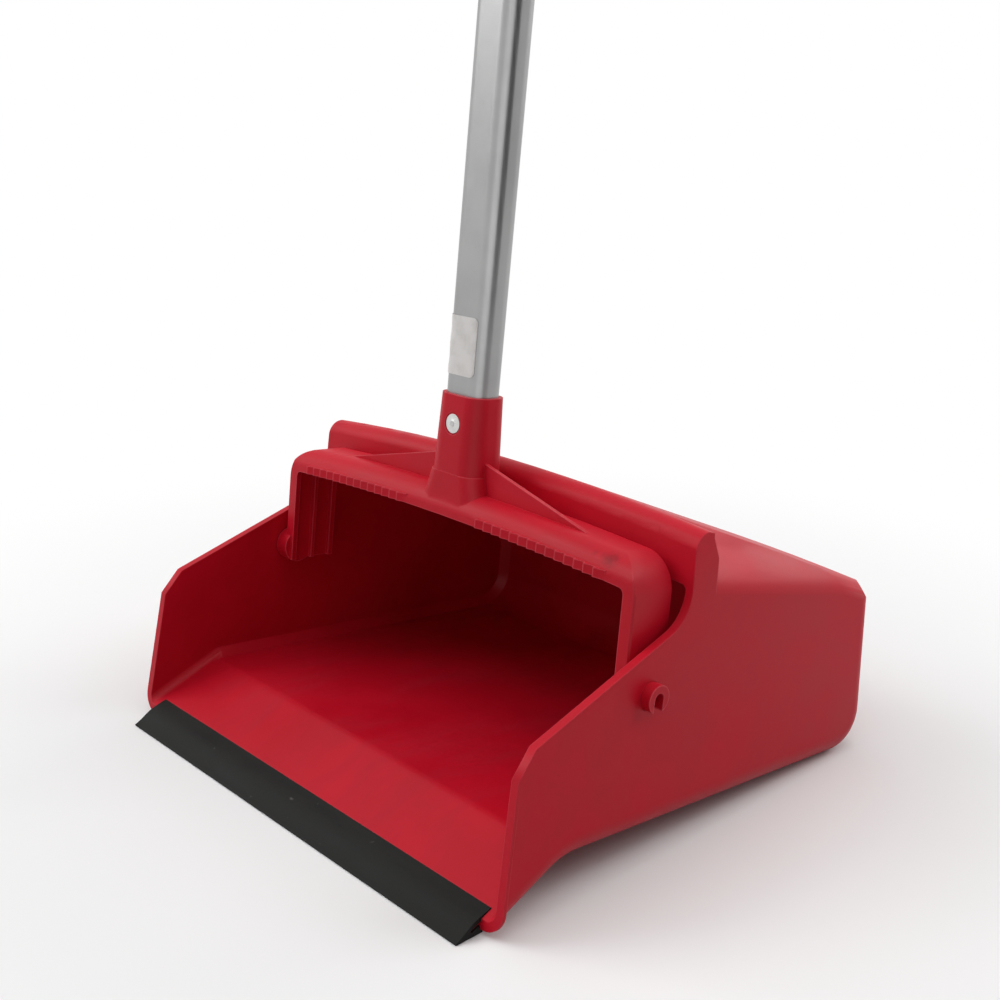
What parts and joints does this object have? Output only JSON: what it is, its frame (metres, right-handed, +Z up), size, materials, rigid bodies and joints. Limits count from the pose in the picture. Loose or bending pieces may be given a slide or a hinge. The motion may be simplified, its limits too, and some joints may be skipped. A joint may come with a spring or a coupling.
{
  "type": "lobby dustpan",
  "caption": "Upright lobby dustpan: moulded scoop with a covered bin and rubber lip, swinging comb hood and long tube handle with a hanging grip.",
  "frame": {"origin": "on the floor, below the middle of the dustpan's outline", "axes": "+Z up, -Y the way the lip points, X across the pan and along the hood's pivot"},
  "size_m": [0.2806, 0.281, 0.8404],
  "materials": {
    "pan_plastic": "semi-matt moulded red",
    "lip_rubber": "black, dull",
    "hood_plastic": "semi-matt moulded red",
    "tube_aluminium": "satin",
    "rivet_aluminium": "plain",
    "rivet_steel": "plain",
    "grip_plastic": "semi-matt moulded red"
  },
  "bodies": {
    "pan": {"pan": "pan_plastic", "rubber_lip": "lip_rubber"},
    "handle": {"hood": "hood_plastic", "handle_tube": "tube_aluminium", "rivet_body": "rivet_aluminium", "rivet_mandrel": "rivet_steel", "hand_grip": "grip_plastic"}
  },
  "joints": [
    {"name": "hood_pivot", "type": "hinge", "parent": "pan", "child": "handle", "pos_m": [0, -0.03611, 0.08017], "axis": [1, 0, 0], "range_deg": [0, 100]}
  ]
}
